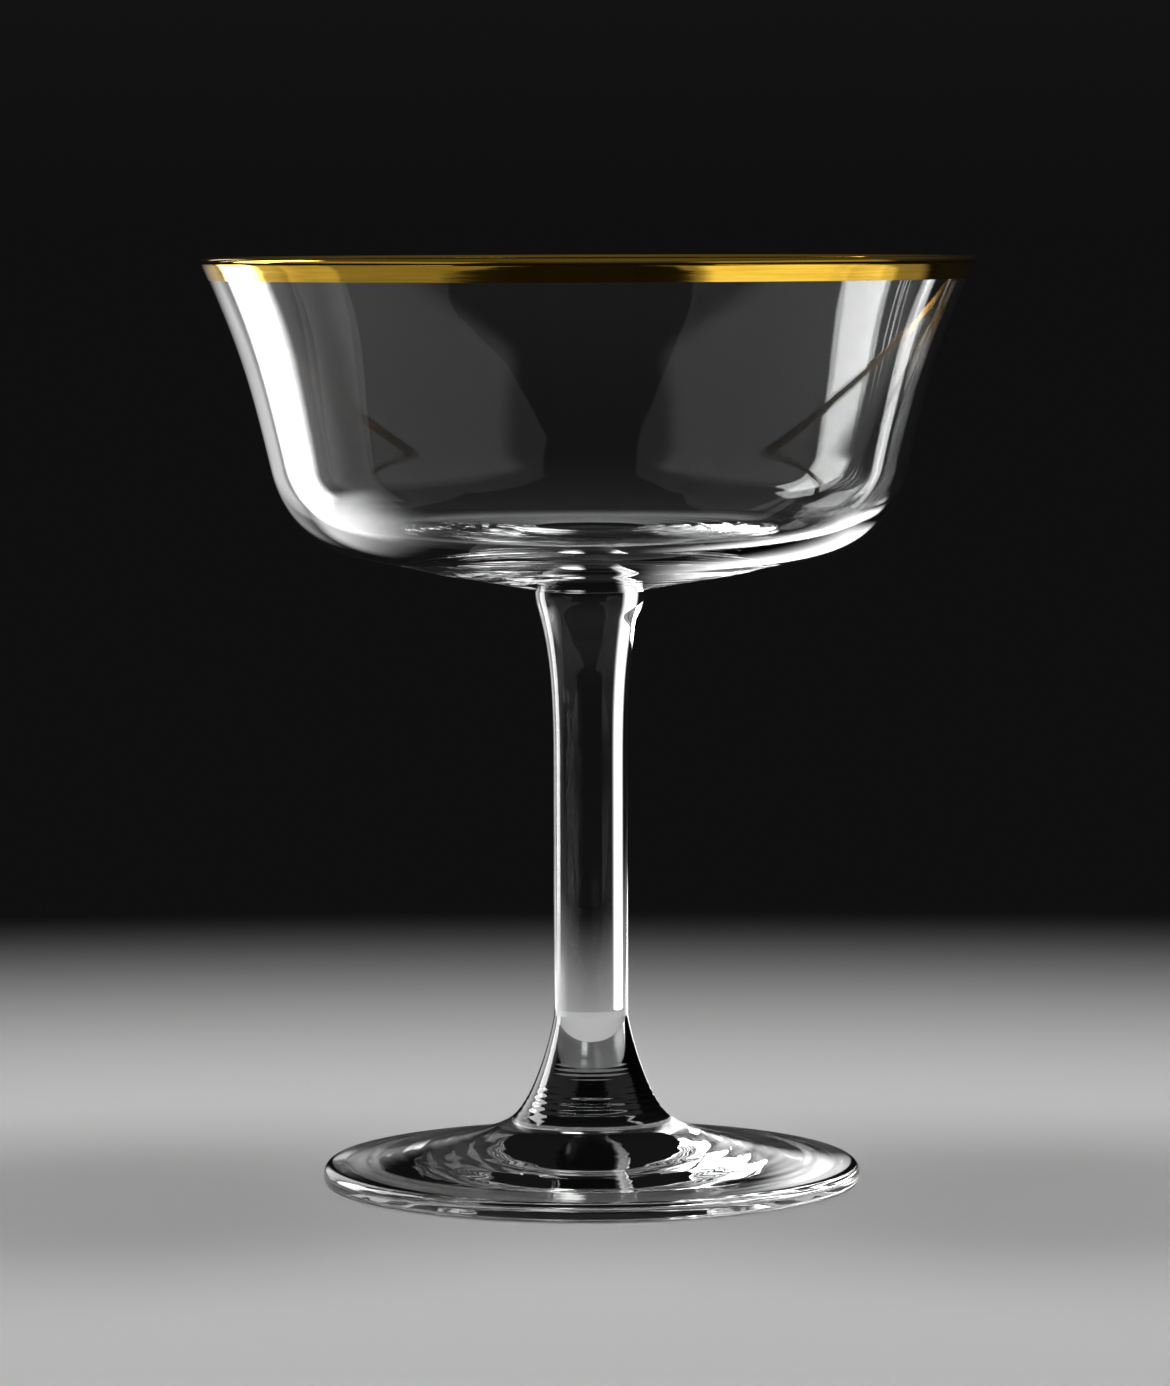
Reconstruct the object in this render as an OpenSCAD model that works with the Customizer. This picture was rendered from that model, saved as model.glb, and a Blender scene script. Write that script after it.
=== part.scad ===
// Stemmed cocktail glass with a gilded lip. A blown bowl with a thick base, a solid stem and a
// cast foot are fused end to end, and a film of gold is fired on the lip.
// Millimetres, standing on z = 0, with the glass turned about the Z axis.

/* [Bowl] */
// Diameter of the bare glass across the lip
rim_d = 104.8; // [92:0.1:120]
// Height of the flaring wall, from the rounded base up to the lip
wall_h = 28.4; // [22:0.5:40]
// Diameter where the wall meets the rounded base
shoulder_d = 86.6; // [76:0.5:92]
// Height of the rounded turn from the wall to the underside
turn_h = 13.8; // [11:0.1:18]
// Diameter where the rounded turn ends on the underside
turn_d = 46.8; // [40:0.1:56]
// Height of the shallow cone between the turn and the stem
underside_h = 3; // [2:0.1:5]
// Lean of the wall from the vertical, just under the lip
lip_lean = 23.5; // [16:0.1:28]
// Lean of the wall from the vertical, where it meets the rounded base
shoulder_lean = 12.9; // [6:0.1:18]
// Lean of the underside from the vertical, at the end of the turn
turn_lean = 71.8; // [68:0.1:79]
// Lean of the underside from the vertical, beside the stem
underside_lean = 75.8; // [72:0.1:84]

/* [Glass thickness] */
// Thickness of the wall at its rounded lip
lip_wall = 1.3; // [1:0.05:2]
// Thickness of the wall, measured level, where it meets the rounded base
shoulder_wall = 1.6; // [1.2:0.05:2.6]
// Thickness of the bowl's base at its centre
base_wall = 6.1; // [4:0.1:8]
// Diameter of the nearly flat floor inside the bowl
floor_d = 48; // [40:0.5:56]
// Dip of that floor at its centre
floor_dip = 0.15; // [0.05:0.05:0.5]

/* [Stem] */
// Length of the stem, from its joint with the foot to its joint with the bowl
stem_h = 72.1; // [60:0.1:95]
// Diameter of the shank
shank_d = 10.1; // [8:0.1:12]
// Diameter of the head that carries the bowl
head_d = 15; // [13.5:0.1:18]
// Height of the head with its rounded lower edge
head_h = 4; // [3:0.1:6]
// Diameter under the head, where the taper starts
neck_d = 13.5; // [12:0.1:13.5]
// Lean of the outline from the vertical, where the taper starts
neck_lean = 14.3; // [8:0.1:20]
// Height of the taper from the head down to the shank
taper_h = 20; // [14:0.5:28]
// Height of the trumpet flare above the joint with the foot
flare_h = 14.1; // [11:0.1:20]

/* [Tool rings on the flare] */
// Number of faint rings that the jacks left round the flare
ring_count = 6; // [3:1:9]
// Height from one ring to the next
ring_pitch = 0.83; // [0.6:0.01:1.1]
// Depth of the groove between two rings
ring_depth = 0.06; // [0.05:0.01:0.2]

/* [Foot] */
// Diameter of the foot
foot_d = 73.4; // [62:0.1:90]
// Thickness of the foot at its edge
edge_h = 2.5; // [1.9:0.1:3.5]
// Radius of the edge above
edge_top_r = 1.4; // [1:0.1:1.7]
// Radius of the edge below
edge_low_r = 0.6; // [0.3:0.1:0.7]
// Diameter of the joint between the foot and the stem's flare
joint_d = 21.5; // [18:0.1:26]
// Height of that joint above the table
joint_h = 8.6; // [7.5:0.1:11]
// Lean of the outline from the vertical at the joint
joint_lean = 47.2; // [38:0.1:55]
// Diameter where the raised middle runs out in the flat of the foot
dome_d = 44.8; // [36:0.1:54]
// Height of the foot there
dome_h = 4.6; // [3.8:0.1:5.5]
// Lean of the outline from the vertical there
dome_lean = 75.9; // [70:0.1:80]
// Lean of the outline from the vertical at the edge
edge_lean = 84.1; // [82:0.1:88]
// Width of the ring that touches the table
contact_w = 3; // [1.5:0.1:6]
// Height of the hollow under the middle of the foot
hollow_h = 2; // [1:0.1:3]

/* [Gilding] */
// Height of the gold band on the outside, from the top of the lip
gilt_h = 2.9; // [2:0.1:6]
// Thickness of the gold film
gilt_t = 0.1; // [0.05:0.01:0.2]
// Angle of the lip, from its outer side, where the film ends inside
gilt_turn = 150; // [120:5:160]

/* [Hidden] */
$fn = 160;
glass_tint = [0.87, 0.94, 0.95];
glass_alpha = 0.45;
gold_tint = [0.83, 0.62, 0.2];

// Steps on each stretch of the outlines
wall_steps = 20;
turn_steps = 18;
short_steps = 8;
ring_steps = 8;
arc_steps = 8;

// Ledge between the head of the stem and the wider underside of the bowl
ledge_w = 0.1;

// How far each end of a curve keeps its direction, as a share of the straight distance
wall_shares = [0.387, 0.462];
turn_shares = [0.565, 0.23];
underside_shares = [0.135, 0.277];
inner_turn_shares = [0.455, 0.38];
floor_shares = [0.3, 0.3];
head_shares = [0.37, 0.4];
taper_shares = [0.256, 0.5];
flare_shares = [0.07, 0.315];
dome_shares = [0.254, 0.189];
flat_shares = [0.32, 0.31];
hollow_shares = [0.3, 0.4];

// Radii and heights that the outlines share
rim_r = rim_d / 2;
lip_r = lip_wall / 2;
stem_top = joint_h + stem_h;
base_top = stem_top + underside_h;
shoulder_z = base_top + turn_h;
rim_z = shoulder_z + wall_h;
floor_z = stem_top + base_wall;
foot_r = foot_d / 2;
quarter = 90;

// Direction of an outline that runs downwards and leans towards the axis
function heading(lean) = [-sin(lean), -cos(lean)];

// Point at t on the cubic curve with the four control points p
function on_curve(p, t) =
    pow(1 - t, 3) * p[0] + 3 * pow(1 - t, 2) * t * p[1]
    + 3 * (1 - t) * pow(t, 2) * p[2] + pow(t, 3) * p[3];

// Smooth run from a to b that leaves and arrives with the given leans
function run(a, lean_a, b, lean_b, shares, steps) =
    let (reach = norm(b - a))
    let (p = [a, a + shares[0] * reach * heading(lean_a),
              b - shares[1] * reach * heading(lean_b), b])
    [for (i = [0:steps]) on_curve(p, i / steps)];

// Arc round a centre, from one angle to another, both counted from the outer side
function arc(centre, r, from, to, steps) =
    [for (i = [0:steps]) centre + r * [cos(from + (to - from) * i / steps),
                                       sin(from + (to - from) * i / steps)]];

function reversed(path) = [for (i = [len(path) - 1:-1:0]) path[i]];

// Lip: a half round between the two faces of the wall
lip_centre = [rim_r - lip_r, rim_z - lip_r];
lip_outer = lip_centre + lip_r * [cos(lip_lean), -sin(lip_lean)];
lip_inner = lip_centre - lip_r * [cos(lip_lean), -sin(lip_lean)];
lip_arc = arc(lip_centre, lip_r, 2 * quarter - lip_lean, -lip_lean, arc_steps * 2);

// Outside of the bowl, from the lip down to the stem
shoulder = [shoulder_d / 2, shoulder_z];
turn_end = [turn_d / 2, base_top];
bowl_foot = [head_d / 2 + ledge_w, stem_top];
outer_wall = run(lip_outer, lip_lean, shoulder, shoulder_lean, wall_shares, wall_steps);
outer_turn = run(shoulder, shoulder_lean, turn_end, turn_lean, turn_shares, turn_steps);
underside = run(turn_end, turn_lean, bowl_foot, underside_lean, underside_shares, short_steps);

// Inside of the bowl, from the lip down to the middle of the floor
inner_shoulder = shoulder - [shoulder_wall, 0];
floor_edge = [floor_d / 2, floor_z + floor_dip];
floor_lean = quarter - atan2(2 * floor_dip, floor_edge[0]);
inner_wall = run(lip_inner, lip_lean, inner_shoulder, shoulder_lean, wall_shares, wall_steps);
inner_turn = run(inner_shoulder, shoulder_lean, floor_edge, floor_lean,
                 inner_turn_shares, turn_steps);
inner_floor = run(floor_edge, floor_lean, [0, floor_z], quarter, floor_shares, short_steps);

// Outline of the stem, from its head down to the joint with the foot
head_end = [neck_d / 2, stem_top - head_h];
shank_top = [shank_d / 2, head_end[1] - taper_h];
flare_top = [shank_d / 2, joint_h + flare_h];
joint = [joint_d / 2, joint_h];
head_side = run([head_d / 2, stem_top], 0, head_end, neck_lean, head_shares, short_steps);
taper_side = run(head_end, neck_lean, shank_top, 0, taper_shares, turn_steps);
flare_side = run(flare_top, 0, joint, -joint_lean, flare_shares, ring_count * ring_steps);

// Depth of the tool rings at a height: full rings above the joint, none above the last one
ring_top = joint_h + ring_count * ring_pitch;
function ring_cut(z) =
    z > ring_top ? 0 : ring_depth * (1 - cos(360 * (z - joint_h) / ring_pitch)) / 2;
ringed_flare = [for (p = flare_side) p - [ring_cut(p[1]), 0]];

// Outline of the foot, from the joint to the edge and back under to the middle
dome_end = [dome_d / 2, dome_h];
edge_centre = [foot_r - edge_top_r, edge_h - edge_top_r];
edge_arc = arc(edge_centre, edge_top_r, edge_lean, 0, arc_steps);
low_centre = [foot_r - edge_low_r, edge_low_r];
low_arc = arc(low_centre, edge_low_r, 0, -quarter, arc_steps);
contact_inner = [low_centre[0] - contact_w, 0];
dome_side = run(joint, -joint_lean, dome_end, -dome_lean, dome_shares, turn_steps);
flat_side = run(dome_end, -dome_lean, edge_arc[0], -edge_lean, flat_shares, short_steps);
hollow_lean = quarter + atan2(2 * hollow_h, contact_inner[0]);
hollow_side = run(contact_inner, hollow_lean, [0, hollow_h], quarter, hollow_shares, turn_steps);

// Glass side of the gold film: over the lip and down the wall to the end of the band
gilt_z = rim_z - gilt_h;
gilt_end = [lookup(gilt_z, [for (p = outer_wall) [p[1], p[0]]]), gilt_z];
gilt_arc = arc(lip_centre, lip_r, gilt_turn, -lip_lean, arc_steps * 2);
gilt_wall = concat([for (p = outer_wall) if (p[1] > gilt_z) p], [gilt_end]);
gilt_shift = gilt_t * [cos(lip_lean), -sin(lip_lean)];

// Bowl, blown in a mould: a flaring wall over a rounded turn, and a base left thick
module bowl() {
    color(glass_tint, glass_alpha)
        rotate_extrude()
            polygon(concat(lip_arc, outer_wall, outer_turn, underside, [[0, stem_top]],
                           reversed(inner_floor), reversed(inner_turn), reversed(inner_wall)));
}

// Stem, drawn from solid glass: a head under the bowl, a taper, the shank and a ringed flare
module stem() {
    color(glass_tint, glass_alpha)
        rotate_extrude()
            polygon(concat([[0, stem_top]], head_side, taper_side, ringed_flare, [[0, joint_h]]));
}

// Foot, cast on the stem: a raised middle, a thin rounded edge and a hollow underside
module foot() {
    color(glass_tint, glass_alpha)
        rotate_extrude()
            polygon(concat([[0, joint_h]], dome_side, flat_side, edge_arc, low_arc,
                           [contact_inner], hollow_side));
}

// Gold film fired on the lip, thin and as wide as the brush left it
module gilt_rim() {
    color(gold_tint)
        rotate_extrude()
            polygon(concat(gilt_arc, gilt_wall, [for (p = reversed(gilt_wall)) p + gilt_shift],
                           arc(lip_centre, lip_r + gilt_t, -lip_lean, gilt_turn, arc_steps * 2)));
}

foot();
stem();
bowl();
gilt_rim();
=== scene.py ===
import math

import bpy
import numpy as np
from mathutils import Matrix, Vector


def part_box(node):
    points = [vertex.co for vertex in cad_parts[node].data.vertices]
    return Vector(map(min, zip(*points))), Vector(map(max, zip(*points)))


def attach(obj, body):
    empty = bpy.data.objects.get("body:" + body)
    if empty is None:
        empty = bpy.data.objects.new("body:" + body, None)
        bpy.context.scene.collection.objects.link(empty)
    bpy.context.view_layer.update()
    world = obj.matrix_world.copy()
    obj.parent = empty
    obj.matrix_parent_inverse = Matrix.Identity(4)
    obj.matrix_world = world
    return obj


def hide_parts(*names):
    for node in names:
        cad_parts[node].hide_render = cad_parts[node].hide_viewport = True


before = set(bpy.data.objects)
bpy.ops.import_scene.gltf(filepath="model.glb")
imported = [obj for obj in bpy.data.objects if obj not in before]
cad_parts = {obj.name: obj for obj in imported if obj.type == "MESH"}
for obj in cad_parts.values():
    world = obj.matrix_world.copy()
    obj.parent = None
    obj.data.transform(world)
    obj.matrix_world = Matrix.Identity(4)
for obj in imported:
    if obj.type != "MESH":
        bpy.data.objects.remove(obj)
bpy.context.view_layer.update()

# Bowl
# The real bowl is blown in a mould from clear glass, with a wall that thins towards the lip and a
# base that is left thick to carry the stem. The cut lip is melted round in a flame.
mm = 0.001
bowl_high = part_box("bowl")[1]
stem_low, stem_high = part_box("stem")
rim_r = bowl_high[0]
rim_z = bowl_high[2]
stem_top = stem_high[2]
lip_wall = 1.3 * mm
lip_lean = math.radians(23.5)
wall_h = 28.4 * mm
wall_shares = (0.387, 0.462)
shoulder_r = 43.3 * mm
shoulder_z = rim_z - wall_h
shoulder_wall = 1.6 * mm
shoulder_lean = math.radians(12.9)
turn_r = 23.4 * mm
turn_lean = math.radians(71.8)
turn_shares = (0.565, 0.23)
underside_h = 3 * mm
underside_lean = math.radians(75.8)
underside_shares = (0.135, 0.277)
underside_pitch = 3.1 * mm
underside_depth = 0.02 * mm
base_top = stem_top + underside_h
head_r = 7.5 * mm
ledge_w = 0.1 * mm
base_wall = 6.1 * mm
inner_turn_shares = (0.455, 0.38)
floor_r = 24 * mm
floor_dip = 0.15 * mm
floor_shares = (0.3, 0.3)
glass_tint = (0.985, 0.995, 0.99, 1)
glass_index = 1.52
glass_film = 0.02
bowl_cord_size = 9 * mm
bowl_cord_depth = 0.012 * mm
bowl_cord_stretch = (1, 1, 0.35)
quarter = math.pi / 2
around = 256
on_axis_r = 1e-9
sharp_corner = math.radians(40)


def heading(lean):
    """Direction of an outline that runs downwards and leans towards the axis."""
    return np.array([-math.sin(lean), -math.cos(lean)])


def run(a, lean_a, b, lean_b, shares, steps):
    """Smooth run of points from a to b that leaves and arrives with the given leans."""
    a = np.array(a, float)
    b = np.array(b, float)
    reach = np.linalg.norm(b - a)
    after = a + shares[0] * reach * heading(lean_a)
    before = b - shares[1] * reach * heading(lean_b)
    t = np.linspace(0, 1, steps + 1)[:, None]
    return (1 - t) ** 3 * a + 3 * (1 - t) ** 2 * t * after + 3 * (1 - t) * t ** 2 * before + t ** 3 * b


def arc(centre, radius, start, end, steps):
    """Points of an arc round a centre; angles are counted from the outer side."""
    angle = np.linspace(start, end, steps + 1)
    return np.array(centre) + radius * np.stack([np.cos(angle), np.sin(angle)], axis=1)


def straight(a, b, steps):
    """Evenly spaced points from a to b."""
    t = np.linspace(0, 1, steps + 1)[:, None]
    return np.array(a, float) * (1 - t) + np.array(b, float) * t


def rippled(points, pitch, depth):
    """Outline with the soft ripples that tools leave in turning glass, none at its two ends."""
    second_height = 0.6
    second_pitch = 0.61 * pitch
    second_start = 1
    along = np.concatenate([[0], np.cumsum(np.linalg.norm(np.diff(points, axis=0), axis=1))])
    slope = np.gradient(points, axis=0)
    across = np.stack([slope[:, 1], -slope[:, 0]], axis=1) / np.linalg.norm(slope, axis=1)[:, None]
    first = np.sin(2 * math.pi * along / pitch)
    second = np.sin(2 * math.pi * along / second_pitch + second_start)
    wave = first + second_height * second
    fade = np.sqrt(np.sin(math.pi * along / along[-1]))
    return points + depth * (wave * fade)[:, None] * across


def turned(name, stretches, finishes, closed=False):
    """Piece turned about the Z axis. Each stretch is (points, number of its finish)."""
    outline = [stretches[0][0][0]]
    numbers = []
    for points, number in stretches:
        for point in points[1:]:
            outline.append(point)
            numbers.append(number)
    if closed:
        outline = outline[:-1]
    angles = np.arange(around) * (2 * math.pi / around)
    corners = []
    rings = []
    for radius, height in outline:
        on_axis = radius < on_axis_r
        rings.append((len(corners), on_axis))
        if on_axis:
            corners.append((0, 0, height))
        else:
            corners += [(radius * math.cos(angle), radius * math.sin(angle), height) for angle in angles]
    faces = []
    face_numbers = []
    for i, number in enumerate(numbers):
        first, first_on_axis = rings[i]
        second, second_on_axis = rings[(i + 1) % len(outline)]
        for j in range(around):
            k = (j + 1) % around
            if first_on_axis:
                face = (first, second + j, second + k)
            elif second_on_axis:
                face = (first + j, second, first + k)
            else:
                face = (first + j, second + j, second + k, first + k)
            faces.append(face)
            face_numbers.append(number)
    mesh = bpy.data.meshes.new(name)
    mesh.from_pydata(corners, [], faces)
    for finish in finishes:
        mesh.materials.append(finish)
    mesh.polygons.foreach_set("material_index", face_numbers)
    mesh.polygons.foreach_set("use_smooth", [True] * len(faces))
    mesh.set_sharp_from_angle(angle=sharp_corner)
    mesh.update()
    piece = bpy.data.objects.new(name, mesh)
    bpy.context.scene.collection.objects.link(piece)
    return piece


def shader_of(material):
    """The material's node tree and its main shader."""
    material.use_nodes = True
    nodes = material.node_tree.nodes
    return material.node_tree, next(n for n in nodes if n.type == "BSDF_PRINCIPLED")


def clear_glass(name, cord_size, cord_depth, cord_stretch):
    """Fire-polished clear glass with faint cords, the soft streaks that the gather leaves in it."""
    material = bpy.data.materials.new(name)
    tree, shader = shader_of(material)
    shader.inputs["Base Color"].default_value = glass_tint
    shader.inputs["IOR"].default_value = glass_index
    shader.inputs["Transmission Weight"].default_value = 1
    place = tree.nodes.new("ShaderNodeTexCoord")
    stretch = tree.nodes.new("ShaderNodeMapping")
    stretch.inputs["Scale"].default_value = cord_stretch
    cords = tree.nodes.new("ShaderNodeTexNoise")
    cords.inputs["Scale"].default_value = 1 / cord_size
    cords.inputs["Detail"].default_value = 0
    bump = tree.nodes.new("ShaderNodeBump")
    bump.inputs["Strength"].default_value = 1
    bump.inputs["Distance"].default_value = cord_depth
    film = tree.nodes.new("ShaderNodeMapRange")
    film.inputs["To Min"].default_value = 0
    film.inputs["To Max"].default_value = glass_film
    link = tree.links.new
    link(place.outputs["Object"], stretch.inputs["Vector"])
    link(stretch.outputs["Vector"], cords.inputs["Vector"])
    link(cords.outputs["Fac"], bump.inputs["Height"])
    link(bump.outputs["Normal"], shader.inputs["Normal"])
    link(cords.outputs["Fac"], film.inputs["Value"])
    link(film.outputs["Result"], shader.inputs["Roughness"])
    return material


def fused_joint():
    """Face inside the glass where two fused pieces meet: the light passes straight on."""
    material = bpy.data.materials.new("fused_joint")
    shader = shader_of(material)[1]
    shader.inputs["Base Color"].default_value = (1, 1, 1, 1)
    shader.inputs["Roughness"].default_value = 0
    shader.inputs["IOR"].default_value = 1
    shader.inputs["Transmission Weight"].default_value = 1
    return material


lip_r = lip_wall / 2
lip_centre = np.array([rim_r - lip_r, rim_z - lip_r])
across_lip = lip_r * np.array([math.cos(lip_lean), -math.sin(lip_lean)])
shoulder = (shoulder_r, shoulder_z)
inner_shoulder = (shoulder_r - shoulder_wall, shoulder_z)
base_edge = (turn_r, base_top)
ledge_edge = (head_r + ledge_w, stem_top)
head_edge = (head_r, stem_top)
floor_z = stem_top + base_wall
floor_edge = (floor_r, floor_z + floor_dip)
floor_lean = quarter - math.atan2(2 * floor_dip, floor_r)
outer_wall = run(lip_centre + across_lip, lip_lean, shoulder, shoulder_lean, wall_shares, steps=48)
outer_turn = run(shoulder, shoulder_lean, base_edge, turn_lean, turn_shares, steps=48)
underside = run(base_edge, turn_lean, ledge_edge, underside_lean, underside_shares, steps=96)
underside = rippled(underside, underside_pitch, underside_depth)
inner_wall = run(lip_centre - across_lip, lip_lean, inner_shoulder, shoulder_lean, wall_shares, steps=48)
inner_turn = run(inner_shoulder, shoulder_lean, floor_edge, floor_lean, inner_turn_shares, steps=48)
inner_floor = run(floor_edge, floor_lean, (0, floor_z), quarter, floor_shares, steps=24)
lip = arc(lip_centre, lip_r, math.pi - lip_lean, -lip_lean, steps=20)
ledge = straight(ledge_edge, head_edge, steps=1)
head_joint = straight(head_edge, (0, stem_top), steps=8)

bowl_glass = clear_glass("bowl_glass", bowl_cord_size, bowl_cord_depth, bowl_cord_stretch)
joint_face = fused_joint()
bowl = turned("bowl_blown", [
    (inner_floor[::-1], 0), (inner_turn[::-1], 0), (inner_wall[::-1], 0), (lip, 0),
    (outer_wall, 0), (outer_turn, 0), (underside, 0), (ledge, 0), (head_joint, 1),
], [bowl_glass, joint_face])
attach(bowl, "root")
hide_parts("bowl")

# Stem
# The real stem is drawn down from a solid gather of the same glass: a head stuck to the bowl's
# base, a taper, a long shank and a trumpet flare, where the jacks leave faint rings as it turns.
joint_z = stem_low[2]
joint_r = stem_high[0]
joint_lean = math.radians(47.2)
head_h = 4 * mm
head_shares = (0.37, 0.4)
neck_r = 6.75 * mm
neck_lean = math.radians(14.3)
neck_z = stem_top - head_h
taper_h = 20 * mm
taper_shares = (0.256, 0.5)
taper_end_z = neck_z - taper_h
shank_r = 5.05 * mm
flare_h = 14.1 * mm
flare_shares = (0.07, 0.315)
flare_top_z = joint_z + flare_h
ring_count = 6
ring_pitch = 0.83 * mm
ring_depth = 0.05 * mm
ring_strengths = (0.5, 0.9, 0.6, 1.0, 0.75, 0.45)
stem_cord_size = 5 * mm
stem_cord_depth = 0.005 * mm
stem_cord_stretch = (1, 1, 0.2)


def ringed(points):
    """The flare's outline with the grooves of the tool rings, each pressed in a little differently."""
    up = (points[:, 1] - joint_z) / ring_pitch
    ring = np.clip(np.floor(up), 0, ring_count - 1).astype(int)
    cut = ring_depth * np.array(ring_strengths)[ring] * (1 - np.cos(2 * math.pi * up)) / 2
    cut[(up > ring_count) | (up < 0)] = 0
    return points - np.stack([cut, 0 * cut], axis=1)


stem_head = run(head_edge, 0, (neck_r, neck_z), neck_lean, head_shares, steps=16)
taper = run((neck_r, neck_z), neck_lean, (shank_r, taper_end_z), 0, taper_shares, steps=40)
shank = straight((shank_r, taper_end_z), (shank_r, flare_top_z), steps=30)
flare = run((shank_r, flare_top_z), 0, (joint_r, joint_z), -joint_lean, flare_shares, steps=200)
flare = ringed(flare)
foot_joint = straight((joint_r, joint_z), (0, joint_z), steps=8)
stem_glass = clear_glass("stem_glass", stem_cord_size, stem_cord_depth, stem_cord_stretch)
stem = turned("stem_drawn", [
    (head_joint[::-1], 1), (stem_head, 0), (taper, 0), (shank, 0), (flare, 0), (foot_joint, 1),
], [stem_glass, joint_face])
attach(stem, "root")
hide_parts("stem")

# Foot
# The real foot is a second gather, dropped on the flare and pressed out between two pads while
# it turns. It is thick in the middle, thin and fire-rounded at the edge, and hollow underneath.
foot_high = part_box("foot")[1]
foot_r = foot_high[0]
dome_r = 22.4 * mm
dome_h = 4.6 * mm
dome_lean = math.radians(75.9)
dome_shares = (0.254, 0.189)
dome_pitch = 2.6 * mm
dome_depth = 0.003 * mm
flat_shares = (0.32, 0.31)
flat_pitch = 2.8 * mm
flat_depth = 0.003 * mm
edge_h = 2.5 * mm
edge_lean = math.radians(84.1)
edge_top_r = 1.4 * mm
edge_low_r = 0.6 * mm
contact_w = 3 * mm
hollow_h = 2 * mm
hollow_shares = (0.3, 0.4)
hollow_pitch = 3.4 * mm
hollow_depth = 0.006 * mm
foot_cord_size = 14 * mm
foot_cord_depth = 0.001 * mm
foot_cord_stretch = (1, 1, 1)

edge_centre = (foot_r - edge_top_r, edge_h - edge_top_r)
low_centre = (foot_r - edge_low_r, edge_low_r)
contact_inner = (low_centre[0] - contact_w, 0)
hollow_lean = quarter + math.atan2(2 * hollow_h, contact_inner[0])
dome = run((joint_r, joint_z), -joint_lean, (dome_r, dome_h), -dome_lean, dome_shares, steps=80)
dome = rippled(dome, dome_pitch, dome_depth)
edge = arc(edge_centre, edge_top_r, edge_lean, 0, steps=16)
flat = run((dome_r, dome_h), -dome_lean, edge[0], -edge_lean, flat_shares, steps=80)
flat = rippled(flat, flat_pitch, flat_depth)
edge_side = straight(edge[-1], (foot_r, edge_low_r), steps=1)
low_edge = arc(low_centre, edge_low_r, 0, -quarter, steps=10)
contact = straight((low_centre[0], 0), contact_inner, steps=4)
hollow = run(contact_inner, hollow_lean, (0, hollow_h), quarter, hollow_shares, steps=160)
hollow = rippled(hollow, hollow_pitch, hollow_depth)
foot_glass = clear_glass("foot_glass", foot_cord_size, foot_cord_depth, foot_cord_stretch)
foot = turned("foot_cast", [
    (foot_joint[::-1], 1), (dome, 0), (flat, 0), (edge, 0), (edge_side, 0), (low_edge, 0),
    (contact, 0), (hollow, 0),
], [foot_glass, joint_face])
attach(foot, "root")
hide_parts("foot")

# Gold film
# The real film is liquid gold, brushed on the lip and a narrow band below it while the glass turns
# on a wheel, then fired and burnished, so it is mirror-bright with fine marks along the band.
gilt_low, gilt_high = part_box("gilt_rim")
gilt_low_z = gilt_low[2]
gilt_t = gilt_high[0] - rim_r
gilt_bed = 0.02 * mm
gilt_turn = math.radians(150)
gilt_last_step = 0.02 * mm
deep_gold = (0.8, 0.46, 0.04, 1)
light_gold = (0.95, 0.6, 0.07, 1)
deep_gold_below = 0.3
light_gold_above = 0.7
gold_smoothest = 0.03
gold_roughest = 0.12
mark_fineness = 90
mark_detail = 4
mark_stretch = (1, 1, 30)
mark_depth = 0.01 * mm
mark_strength = 0.4


def burnished_gold():
    """Fired gold film, bright, with fine brush marks that run round the glass."""
    material = bpy.data.materials.new("gilding")
    tree, shader = shader_of(material)
    shader.inputs["Metallic"].default_value = 1
    place = tree.nodes.new("ShaderNodeTexCoord")
    stretch = tree.nodes.new("ShaderNodeMapping")
    stretch.inputs["Scale"].default_value = mark_stretch
    marks = tree.nodes.new("ShaderNodeTexNoise")
    marks.inputs["Scale"].default_value = mark_fineness
    marks.inputs["Detail"].default_value = mark_detail
    tone = tree.nodes.new("ShaderNodeValToRGB")
    tone.color_ramp.elements[0].position = deep_gold_below
    tone.color_ramp.elements[0].color = deep_gold
    tone.color_ramp.elements[1].position = light_gold_above
    tone.color_ramp.elements[1].color = light_gold
    gloss = tree.nodes.new("ShaderNodeMapRange")
    gloss.inputs["To Min"].default_value = gold_smoothest
    gloss.inputs["To Max"].default_value = gold_roughest
    bump = tree.nodes.new("ShaderNodeBump")
    bump.inputs["Strength"].default_value = mark_strength
    bump.inputs["Distance"].default_value = mark_depth
    link = tree.links.new
    link(place.outputs["Object"], stretch.inputs["Vector"])
    link(stretch.outputs["Vector"], marks.inputs["Vector"])
    link(marks.outputs["Fac"], tone.inputs["Fac"])
    link(tone.outputs["Color"], shader.inputs["Base Color"])
    link(marks.outputs["Fac"], gloss.inputs["Value"])
    link(gloss.outputs["Result"], shader.inputs["Roughness"])
    link(marks.outputs["Fac"], bump.inputs["Height"])
    link(bump.outputs["Normal"], shader.inputs["Normal"])
    return material


gilt_end_r = np.interp(gilt_low_z, outer_wall[::-1, 1], outer_wall[::-1, 0])
on_band = outer_wall[outer_wall[:, 1] > gilt_low_z + gilt_last_step]
band = np.vstack([on_band[1:], [(gilt_end_r, gilt_low_z)]])
outward = np.array([math.cos(lip_lean), -math.sin(lip_lean)])


def gilt_side(offset):
    """Outline of one face of the gold, this far outside the glass, or inside it if negative."""
    over_lip = arc(lip_centre, lip_r + offset, gilt_turn, -lip_lean, steps=20)
    return np.vstack([over_lip, band + offset * outward])


film_side = gilt_side(gilt_t)
bed_side = gilt_side(-gilt_bed)
gilt = turned("gilt_film", [
    (np.vstack([film_side, bed_side[::-1], film_side[:1]]), 0),
], [burnished_gold()], closed=True)
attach(gilt, "root")
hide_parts("gilt_rim")

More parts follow.
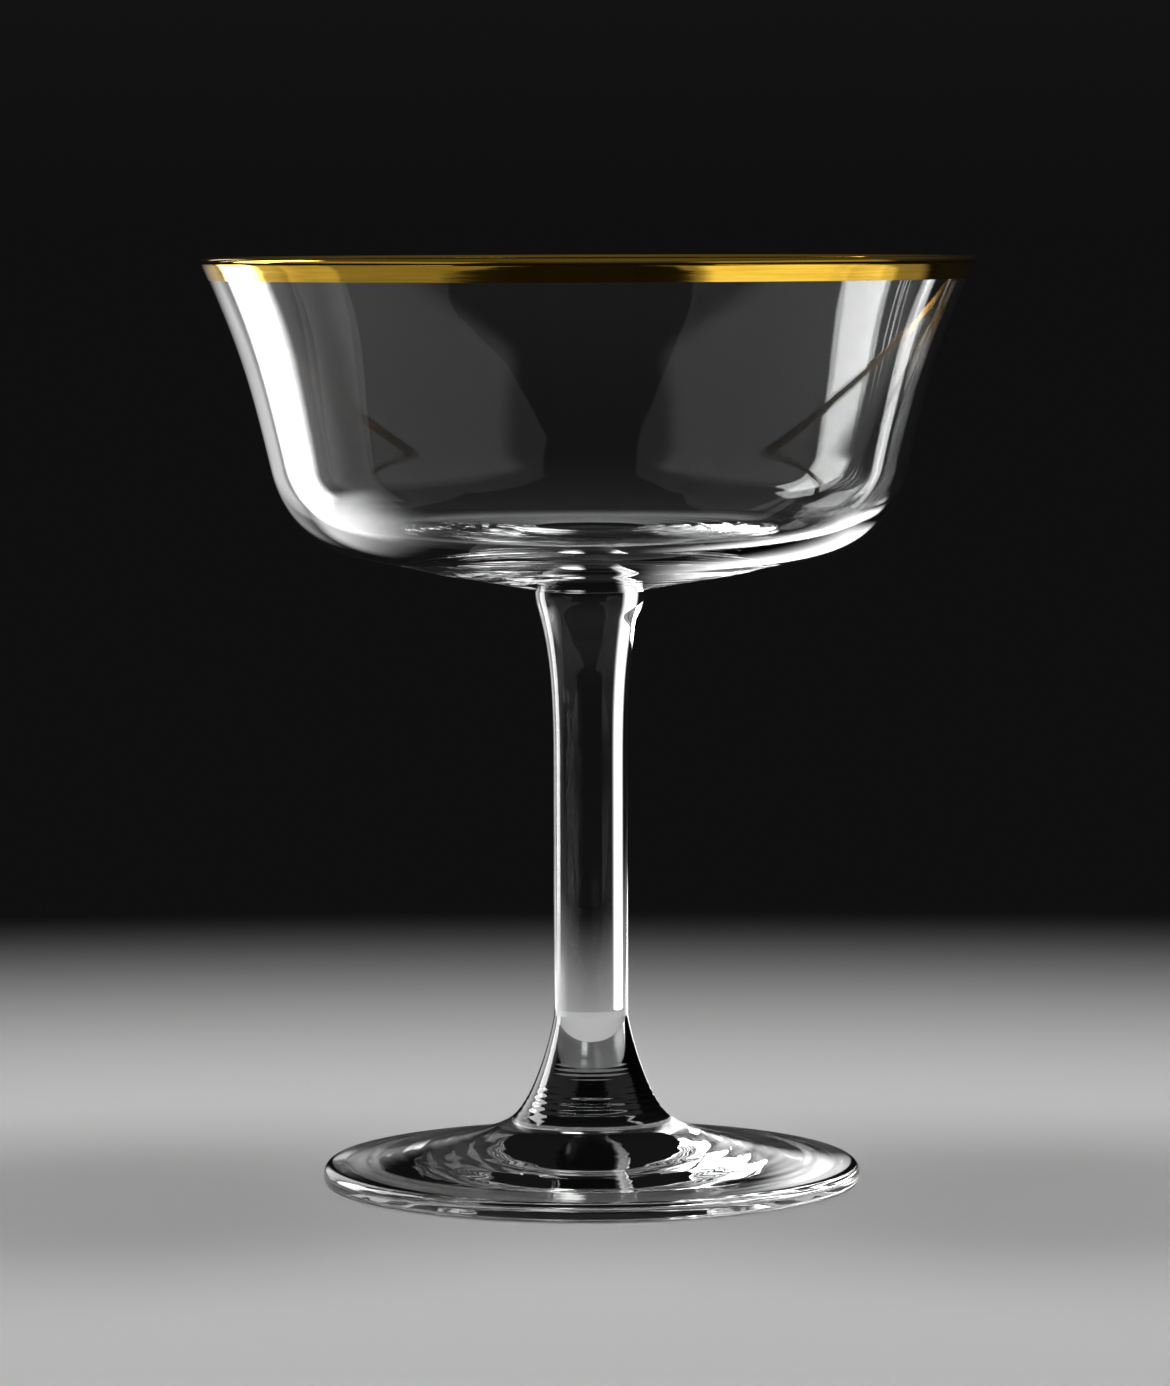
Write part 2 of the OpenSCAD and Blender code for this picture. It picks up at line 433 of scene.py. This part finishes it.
# Floor and backdrop
# A pale matt sheet of paper under the glass, and a dark backdrop. Away from the glass the sheet
# fades to the backdrop's own tone, so that its far edge and the surroundings are one.
backdrop_tone = 0.005
sky_tones = [(0.0, backdrop_tone), (0.3, 0.015), (1.0, 0.1)]
sheet_tone = 0.78
sheet_roughness = 0.9
sheet_shine = 0.1
sheet_r = 6.0
sheet_rings = 24
sheet_drop = 0.05 * mm
fade_centre = (0, -0.16, 0)
fade_start = 0.22
fade_end = 0.48
fade_shape = (0.7, 1, 1)


def sheet_finish():
    """Matt paper tone that turns into the backdrop's own light with distance from the glass."""
    material = bpy.data.materials.new("floor_paper")
    tree, shader = shader_of(material)
    shader.inputs["Base Color"].default_value = (sheet_tone, sheet_tone, sheet_tone, 1)
    shader.inputs["Roughness"].default_value = sheet_roughness
    shader.inputs["Specular IOR Level"].default_value = sheet_shine
    glow = tree.nodes.new("ShaderNodeEmission")
    glow.inputs["Color"].default_value = (1, 1, 1, 1)
    glow.inputs["Strength"].default_value = backdrop_tone
    place = tree.nodes.new("ShaderNodeNewGeometry")
    shape = tree.nodes.new("ShaderNodeVectorMath")
    shape.operation = "MULTIPLY"
    shape.inputs[1].default_value = fade_shape
    reach = tree.nodes.new("ShaderNodeVectorMath")
    reach.operation = "DISTANCE"
    reach.inputs[1].default_value = fade_centre
    fade = tree.nodes.new("ShaderNodeMapRange")
    fade.interpolation_type = "SMOOTHSTEP"
    fade.inputs["From Min"].default_value = fade_start
    fade.inputs["From Max"].default_value = fade_end
    mix = tree.nodes.new("ShaderNodeMixShader")
    out = next(n for n in tree.nodes if n.type == "OUTPUT_MATERIAL")
    link = tree.links.new
    link(place.outputs["Position"], shape.inputs[0])
    link(shape.outputs["Vector"], reach.inputs[0])
    link(reach.outputs["Value"], fade.inputs["Value"])
    link(fade.outputs["Result"], mix.inputs["Fac"])
    link(shader.outputs["BSDF"], mix.inputs[1])
    link(glow.outputs["Emission"], mix.inputs[2])
    link(mix.outputs["Shader"], out.inputs["Surface"])
    return material


# The sheet's rings are closer together near the glass.
sheet_line = np.array([(sheet_r * (i / sheet_rings) ** 2, 0.0) for i in range(sheet_rings + 1)])
floor = turned("floor_sheet", [(sheet_line, 0)], [sheet_finish()])
floor.location.z = -sheet_drop

world = bpy.data.worlds.new("studio")
bpy.context.scene.world = world
world.use_nodes = True
air = world.node_tree
sky = next(n for n in air.nodes if n.type == "BACKGROUND")
direction = air.nodes.new("ShaderNodeTexCoord")
rise = air.nodes.new("ShaderNodeSeparateXYZ")
tones = air.nodes.new("ShaderNodeValToRGB")
stops = tones.color_ramp.elements
for i, (height, tone) in enumerate(sky_tones):
    stop = stops[i] if i < len(stops) else stops.new(height)
    stop.position = height
    stop.color = (tone, tone, tone, 1)
air.links.new(direction.outputs["Generated"], rise.inputs["Vector"])
air.links.new(rise.outputs["Z"], tones.inputs["Fac"])
air.links.new(tones.outputs["Color"], sky.inputs["Color"])

# Lamps
# Soft boxes and white cards. Two broad boxes hang in front, and two overhead light the floor and
# don't show in the glass. Smaller cards stand behind and beside the glass, lie near it or hang
# high up, and most of them show only as mirror images in it, some in one piece alone.


def only_mirrored(tree, finish):
    """Finish that a surface shows in a mirror image alone, and that is clear seen straight."""
    path = tree.nodes.new("ShaderNodeLightPath")
    clear = tree.nodes.new("ShaderNodeBsdfTransparent")
    mix = tree.nodes.new("ShaderNodeMixShader")
    tree.links.new(path.outputs["Glossy Depth"], mix.inputs["Fac"])
    tree.links.new(clear.outputs["BSDF"], mix.inputs[1])
    tree.links.new(finish, mix.inputs[2])
    return mix.outputs["Shader"]


def softbox(name, place, aim, width, height, brightness, edge_share, mirrored=False):
    """Rectangular soft lamp that faces a point, brightest in the middle; the camera doesn't see it."""
    material = bpy.data.materials.new(name)
    material.use_nodes = True
    tree = material.node_tree
    tree.nodes.clear()
    place_on_box = tree.nodes.new("ShaderNodeTexCoord")
    split = tree.nodes.new("ShaderNodeSeparateXYZ")
    link = tree.links.new
    link(place_on_box.outputs["Generated"], split.inputs["Vector"])
    halfway = 0.5
    sides = []
    for axis in ("X", "Y"):
        inward = tree.nodes.new("ShaderNodeMath")
        inward.operation = "PINGPONG"
        inward.inputs[1].default_value = halfway
        soft_edge = tree.nodes.new("ShaderNodeMapRange")
        soft_edge.interpolation_type = "SMOOTHSTEP"
        soft_edge.inputs["From Max"].default_value = edge_share
        link(split.outputs[axis], inward.inputs[0])
        link(inward.outputs["Value"], soft_edge.inputs["Value"])
        sides.append(soft_edge)
    both = tree.nodes.new("ShaderNodeMath")
    both.operation = "MULTIPLY"
    link(sides[0].outputs["Result"], both.inputs[0])
    link(sides[1].outputs["Result"], both.inputs[1])
    facing = tree.nodes.new("ShaderNodeNewGeometry")
    front = tree.nodes.new("ShaderNodeMath")
    front.operation = "SUBTRACT"
    front.inputs[0].default_value = 1
    link(facing.outputs["Backfacing"], front.inputs[1])
    share = tree.nodes.new("ShaderNodeMath")
    share.operation = "MULTIPLY"
    link(both.outputs["Value"], share.inputs[0])
    link(front.outputs["Value"], share.inputs[1])
    strength = tree.nodes.new("ShaderNodeMath")
    strength.operation = "MULTIPLY"
    strength.inputs[1].default_value = brightness
    link(share.outputs["Value"], strength.inputs[0])
    glow = tree.nodes.new("ShaderNodeEmission")
    link(strength.outputs["Value"], glow.inputs["Strength"])
    clear = tree.nodes.new("ShaderNodeBsdfTransparent")
    both_shaders = tree.nodes.new("ShaderNodeAddShader")
    link(clear.outputs["BSDF"], both_shaders.inputs[0])
    link(glow.outputs["Emission"], both_shaders.inputs[1])
    out = tree.nodes.new("ShaderNodeOutputMaterial")
    surface = both_shaders.outputs["Shader"]
    if mirrored:
        surface = only_mirrored(tree, surface)
    link(surface, out.inputs["Surface"])
    half_w = width / 2
    half_h = height / 2
    mesh = bpy.data.meshes.new(name)
    mesh.from_pydata([(-half_w, -half_h, 0), (half_w, -half_h, 0), (half_w, half_h, 0),
                      (-half_w, half_h, 0)], [], [(0, 3, 2, 1)])
    mesh.materials.append(material)
    box = bpy.data.objects.new(name, mesh)
    bpy.context.scene.collection.objects.link(box)
    box.location = place
    box.rotation_euler = (Vector(aim) - Vector(place)).to_track_quat("-Z", "Y").to_euler()
    box.visible_camera = False
    return box


def keep_off_floor(sheet):
    """The floor's matt tone takes neither light nor shadow from this box or painted-reflection sheet."""
    sheet.visible_diffuse = False
    sheet.visible_shadow = False


def standing_box(name, azimuth, distance, width, low_z, high_z, brightness, edge_share, mirrored=False):
    """Upright soft box that faces the glass; its azimuth is counted from straight behind it."""
    turn = math.radians(azimuth)
    middle_z = (low_z + high_z) / 2
    place = (distance * math.sin(turn), distance * math.cos(turn), middle_z)
    box = softbox(name, place, (0, 0, middle_z), width, high_z - low_z, brightness, edge_share, mirrored)
    keep_off_floor(box)
    return box


def lying_box(name, x, y, width, depth, brightness, edge_share):
    """Soft box just over the floor that faces up, seen only as a mirror image in the glass."""
    over_floor = 5 * mm
    box = softbox(name, (x, y, over_floor), (x, y, 1), width, depth, brightness, edge_share, mirrored=True)
    keep_off_floor(box)
    return box


def lights_only(box, pieces):
    """The box is masked off from all but these pieces of the glass."""
    lit = bpy.data.collections.new(box.name + "_lit")
    for piece in pieces:
        lit.objects.link(piece)
    box.light_linking.receiver_collection = lit


middle = (0, 0, rim_z / 2)
for name, across in (("box_front_left", -0.69), ("box_front_right", 0.69)):
    softbox(name, place=(across, -0.28, 0.52), aim=middle, width=1.2, height=0.45,
            brightness=0.3, edge_share=0.15)
for name, across in (("box_overhead_left", -0.4), ("box_overhead_right", 0.4)):
    overhead = softbox(name, place=(across, 0.12, 0.85), aim=middle, width=0.38, height=0.6,
                       brightness=5.5, edge_share=0.15)
    overhead.visible_glossy = False
    overhead.visible_transmission = False

standing_box("box_low_left", azimuth=-61, distance=0.18, width=0.08, low_z=0.0, high_z=0.11,
             brightness=9.0, edge_share=0.2, mirrored=True)
standing_box("box_low_left_soft", azimuth=-76, distance=0.2, width=0.12, low_z=0.0, high_z=0.11,
             brightness=0.6, edge_share=0.5, mirrored=True)
standing_box("box_edge_left", azimuth=-36, distance=0.19, width=0.105, low_z=0.0, high_z=0.12,
             brightness=0.6, edge_share=0.3, mirrored=True)
low_right = standing_box("box_low_right", azimuth=62.7, distance=0.181, width=0.018, low_z=0.0,
                         high_z=0.11, brightness=3.0, edge_share=0.3, mirrored=True)
lights_only(low_right, [bowl])
back_left = standing_box("box_back_left", azimuth=-38, distance=0.17, width=0.082, low_z=-0.06,
                         high_z=0.19, brightness=1.5, edge_share=0.25)
lights_only(back_left, [stem, foot])
standing_box("box_tall_left", azimuth=-64.5, distance=0.5, width=0.2, low_z=0.195, high_z=0.6,
             brightness=6.5, edge_share=0.08)
standing_box("strip_left", azimuth=-46, distance=0.5, width=0.01, low_z=0.195, high_z=0.4,
             brightness=4.0, edge_share=0.3)
standing_box("strip_left_second", azimuth=-42.5, distance=0.5, width=0.008, low_z=0.195, high_z=0.4,
             brightness=4.0, edge_share=0.3)
standing_box("box_soft_left", azimuth=-28, distance=0.5, width=0.07, low_z=0.195, high_z=0.4,
             brightness=2.0, edge_share=0.45)

lying_box("box_lying_left", x=-0.14, y=0.07, width=0.18, depth=0.22, brightness=3.5, edge_share=0.35)
lying_box("box_lying_side", x=0.27, y=0.07, width=0.16, depth=0.24, brightness=0.25, edge_share=0.25)
lying_gold = lying_box("box_lying_gold", x=0.185, y=-0.05, width=0.19, depth=0.24, brightness=0.85,
                       edge_share=0.08)
lights_only(lying_gold, [gilt])
lying_box("box_lying_right", x=0.075, y=0.2, width=0.13, depth=0.3, brightness=4.0, edge_share=0.3)

foot_right = standing_box("box_foot_right", azimuth=6.5, distance=0.5, width=0.075, low_z=0.055,
                          high_z=0.195, brightness=2.6, edge_share=0.4, mirrored=True)
lights_only(foot_right, [foot])
foot_left = standing_box("box_foot_left", azimuth=-6, distance=0.5, width=0.07, low_z=0.03,
                         high_z=0.14, brightness=0.5, edge_share=0.45, mirrored=True)
lights_only(foot_left, [foot])

# Four cards hang high up, from the front left round to the right, for the flare's tool rings.
first_side = -50
above_flare_reach = 0.32
above_flare_z = 0.42
for step in (0, 50, 100, 150):
    turn = math.radians(first_side + step)
    place = (above_flare_reach * math.sin(turn), -above_flare_reach * math.cos(turn), above_flare_z)
    above_flare = softbox(f"box_above_flare_{step}", place, aim=(0, 0, joint_z), width=0.4,
                          height=0.06, brightness=6.0, edge_share=0.4, mirrored=True)
    lights_only(above_flare, [stem])

# Painted dark reflections: flag and net
# Dark sheets just over the floor that paint dark reflections. The camera doesn't see them, and they
# neither light nor shade the floor. They show only in mirror images, where they paint dark over the pale
# floor. The flag is cut out round the foot and where the glass is to mirror the floor. The net shows in
# full in mirror images inside the glass, and by half in those on its outside.
# Painted dark reflection: the tone of the flag and the net, seen only in mirror images.
painted_reflection_black = (0.01, 0.01, 0.01, 1)
flag_z = 1 * mm
flag_front = [(-0.045, -0.01), (-0.13, -0.05), (-0.12, -0.11), (-0.124, -0.126), (-0.116, -0.1345),
              (-0.106, -0.143), (-0.095, -0.157), (-0.083, -0.172), (-0.075, -0.192), (-0.063, -0.209),
              (-0.052, -0.2165), (-0.06, -0.2174), (-0.07, -0.2157), (-0.086, -0.2123), (-0.11, -0.215),
              (-0.16, -0.2), (-0.8, -1.0), (0.8, -1.1), (0.15, -0.21), (0.1, -0.22), (0.06, -0.226),
              (0.058, -0.22), (0.074, -0.199), (0.079, -0.177), (0.083, -0.155), (0.09, -0.143),
              (0.078, -0.11), (0.08, -0.066), (0.1, -0.03), (0.045, -0.01), (0.03, -0.036), (0, -0.046),
              (-0.03, -0.036)]
flag_back = [(-0.045, -0.01), (-0.042, 0.02), (-0.024, 0.04), (0, 0.046), (0.024, 0.04), (0.042, 0.02),
             (0.045, -0.01), (0.1, -0.03), (0.19, -0.03), (0.3, -0.02), (1.5, 0), (1.5, 1.5),
             (-1.5, 1.5), (-1.5, 0.3), (-0.32, 0.08), (-0.16, 0), (-0.13, -0.05)]
net_z = 4 * mm
net_left = [(-1.5, -0.24), (-0.04, -0.24), (-0.04, -0.04), (-1.5, -0.04)]
net_right = [(0.04, -0.24), (1.5, -0.24), (1.5, 0.25), (0.2, 0.25), (0.2, -0.04), (0.04, -0.04)]


def mirrored_inside(tree, finish):
    """Finish that shows in mirror images inside the glass, and by half in those on its outside."""
    outside_share = 0.5
    path = tree.nodes.new("ShaderNodeLightPath")
    full_inside = tree.nodes.new("ShaderNodeMath")
    full_inside.inputs[1].default_value = outside_share
    shown = tree.nodes.new("ShaderNodeMath")
    shown.operation = "MULTIPLY"
    clear = tree.nodes.new("ShaderNodeBsdfTransparent")
    mix = tree.nodes.new("ShaderNodeMixShader")
    tree.links.new(path.outputs["Glossy Depth"], shown.inputs[0])
    tree.links.new(path.outputs["Transmission Depth"], full_inside.inputs[0])
    tree.links.new(full_inside.outputs["Value"], shown.inputs[1])
    tree.links.new(shown.outputs["Value"], mix.inputs["Fac"])
    tree.links.new(clear.outputs["BSDF"], mix.inputs[1])
    tree.links.new(finish, mix.inputs[2])
    return mix.outputs["Shader"]


def painted_reflection_sheet(name, dark_finish_name, parts, height, shows):
    """Flat dark sheet in parts at this height, a painted dark reflection; shows is its rule for where it
    is seen.
    """
    corners = []
    faces = []
    for part in parts:
        faces.append(range(len(corners), len(corners) + len(part)))
        corners += [(x, y, 0) for x, y in part]
    mesh = bpy.data.meshes.new(name)
    mesh.from_pydata(corners, [], faces)
    material = bpy.data.materials.new(dark_finish_name)
    tree, shader = shader_of(material)
    shader.inputs["Base Color"].default_value = painted_reflection_black
    out = next(n for n in tree.nodes if n.type == "OUTPUT_MATERIAL")
    tree.links.new(shows(tree, shader.outputs["BSDF"]), out.inputs["Surface"])
    mesh.materials.append(material)
    dark_sheet = bpy.data.objects.new(name, mesh)
    bpy.context.scene.collection.objects.link(dark_sheet)
    dark_sheet.location.z = height
    dark_sheet.visible_camera = False
    keep_off_floor(dark_sheet)
    return dark_sheet


flag = painted_reflection_sheet("painted_reflection_flag", "flag_painted_reflection", [flag_front, flag_back], flag_z, only_mirrored)
net = painted_reflection_sheet("painted_reflection_net", "net_painted_reflection", [net_left, net_right], net_z, mirrored_inside)

# Camera
# A long lens a little above the lip, tilted down to the whole glass. It was fitted to the ellipses
# of the lip and the foot and to the outline.
photo_height = 1386
focal_px = 5891
film_size = 36
camera_distance = 0.7998
camera_height = 0.12999
tilt = math.radians(4.527)
yaw = math.radians(0.036)
roll = math.radians(0.181)

lens = bpy.data.cameras.new("camera")
lens.sensor_width = film_size
lens.lens = focal_px * film_size / photo_height
camera = bpy.data.objects.new("camera", lens)
bpy.context.scene.collection.objects.link(camera)
camera.location = (0, -camera_distance, camera_height)
camera.rotation_euler = (quarter - tilt, roll, yaw)
bpy.context.scene.camera = camera

view = bpy.context.scene.view_settings
view.view_transform = "Standard"
rays = bpy.context.scene.cycles
rays.max_bounces = 32
rays.transmission_bounces = 28
rays.glossy_bounces = 12
rays.transparent_max_bounces = 16
rays.use_denoising = True
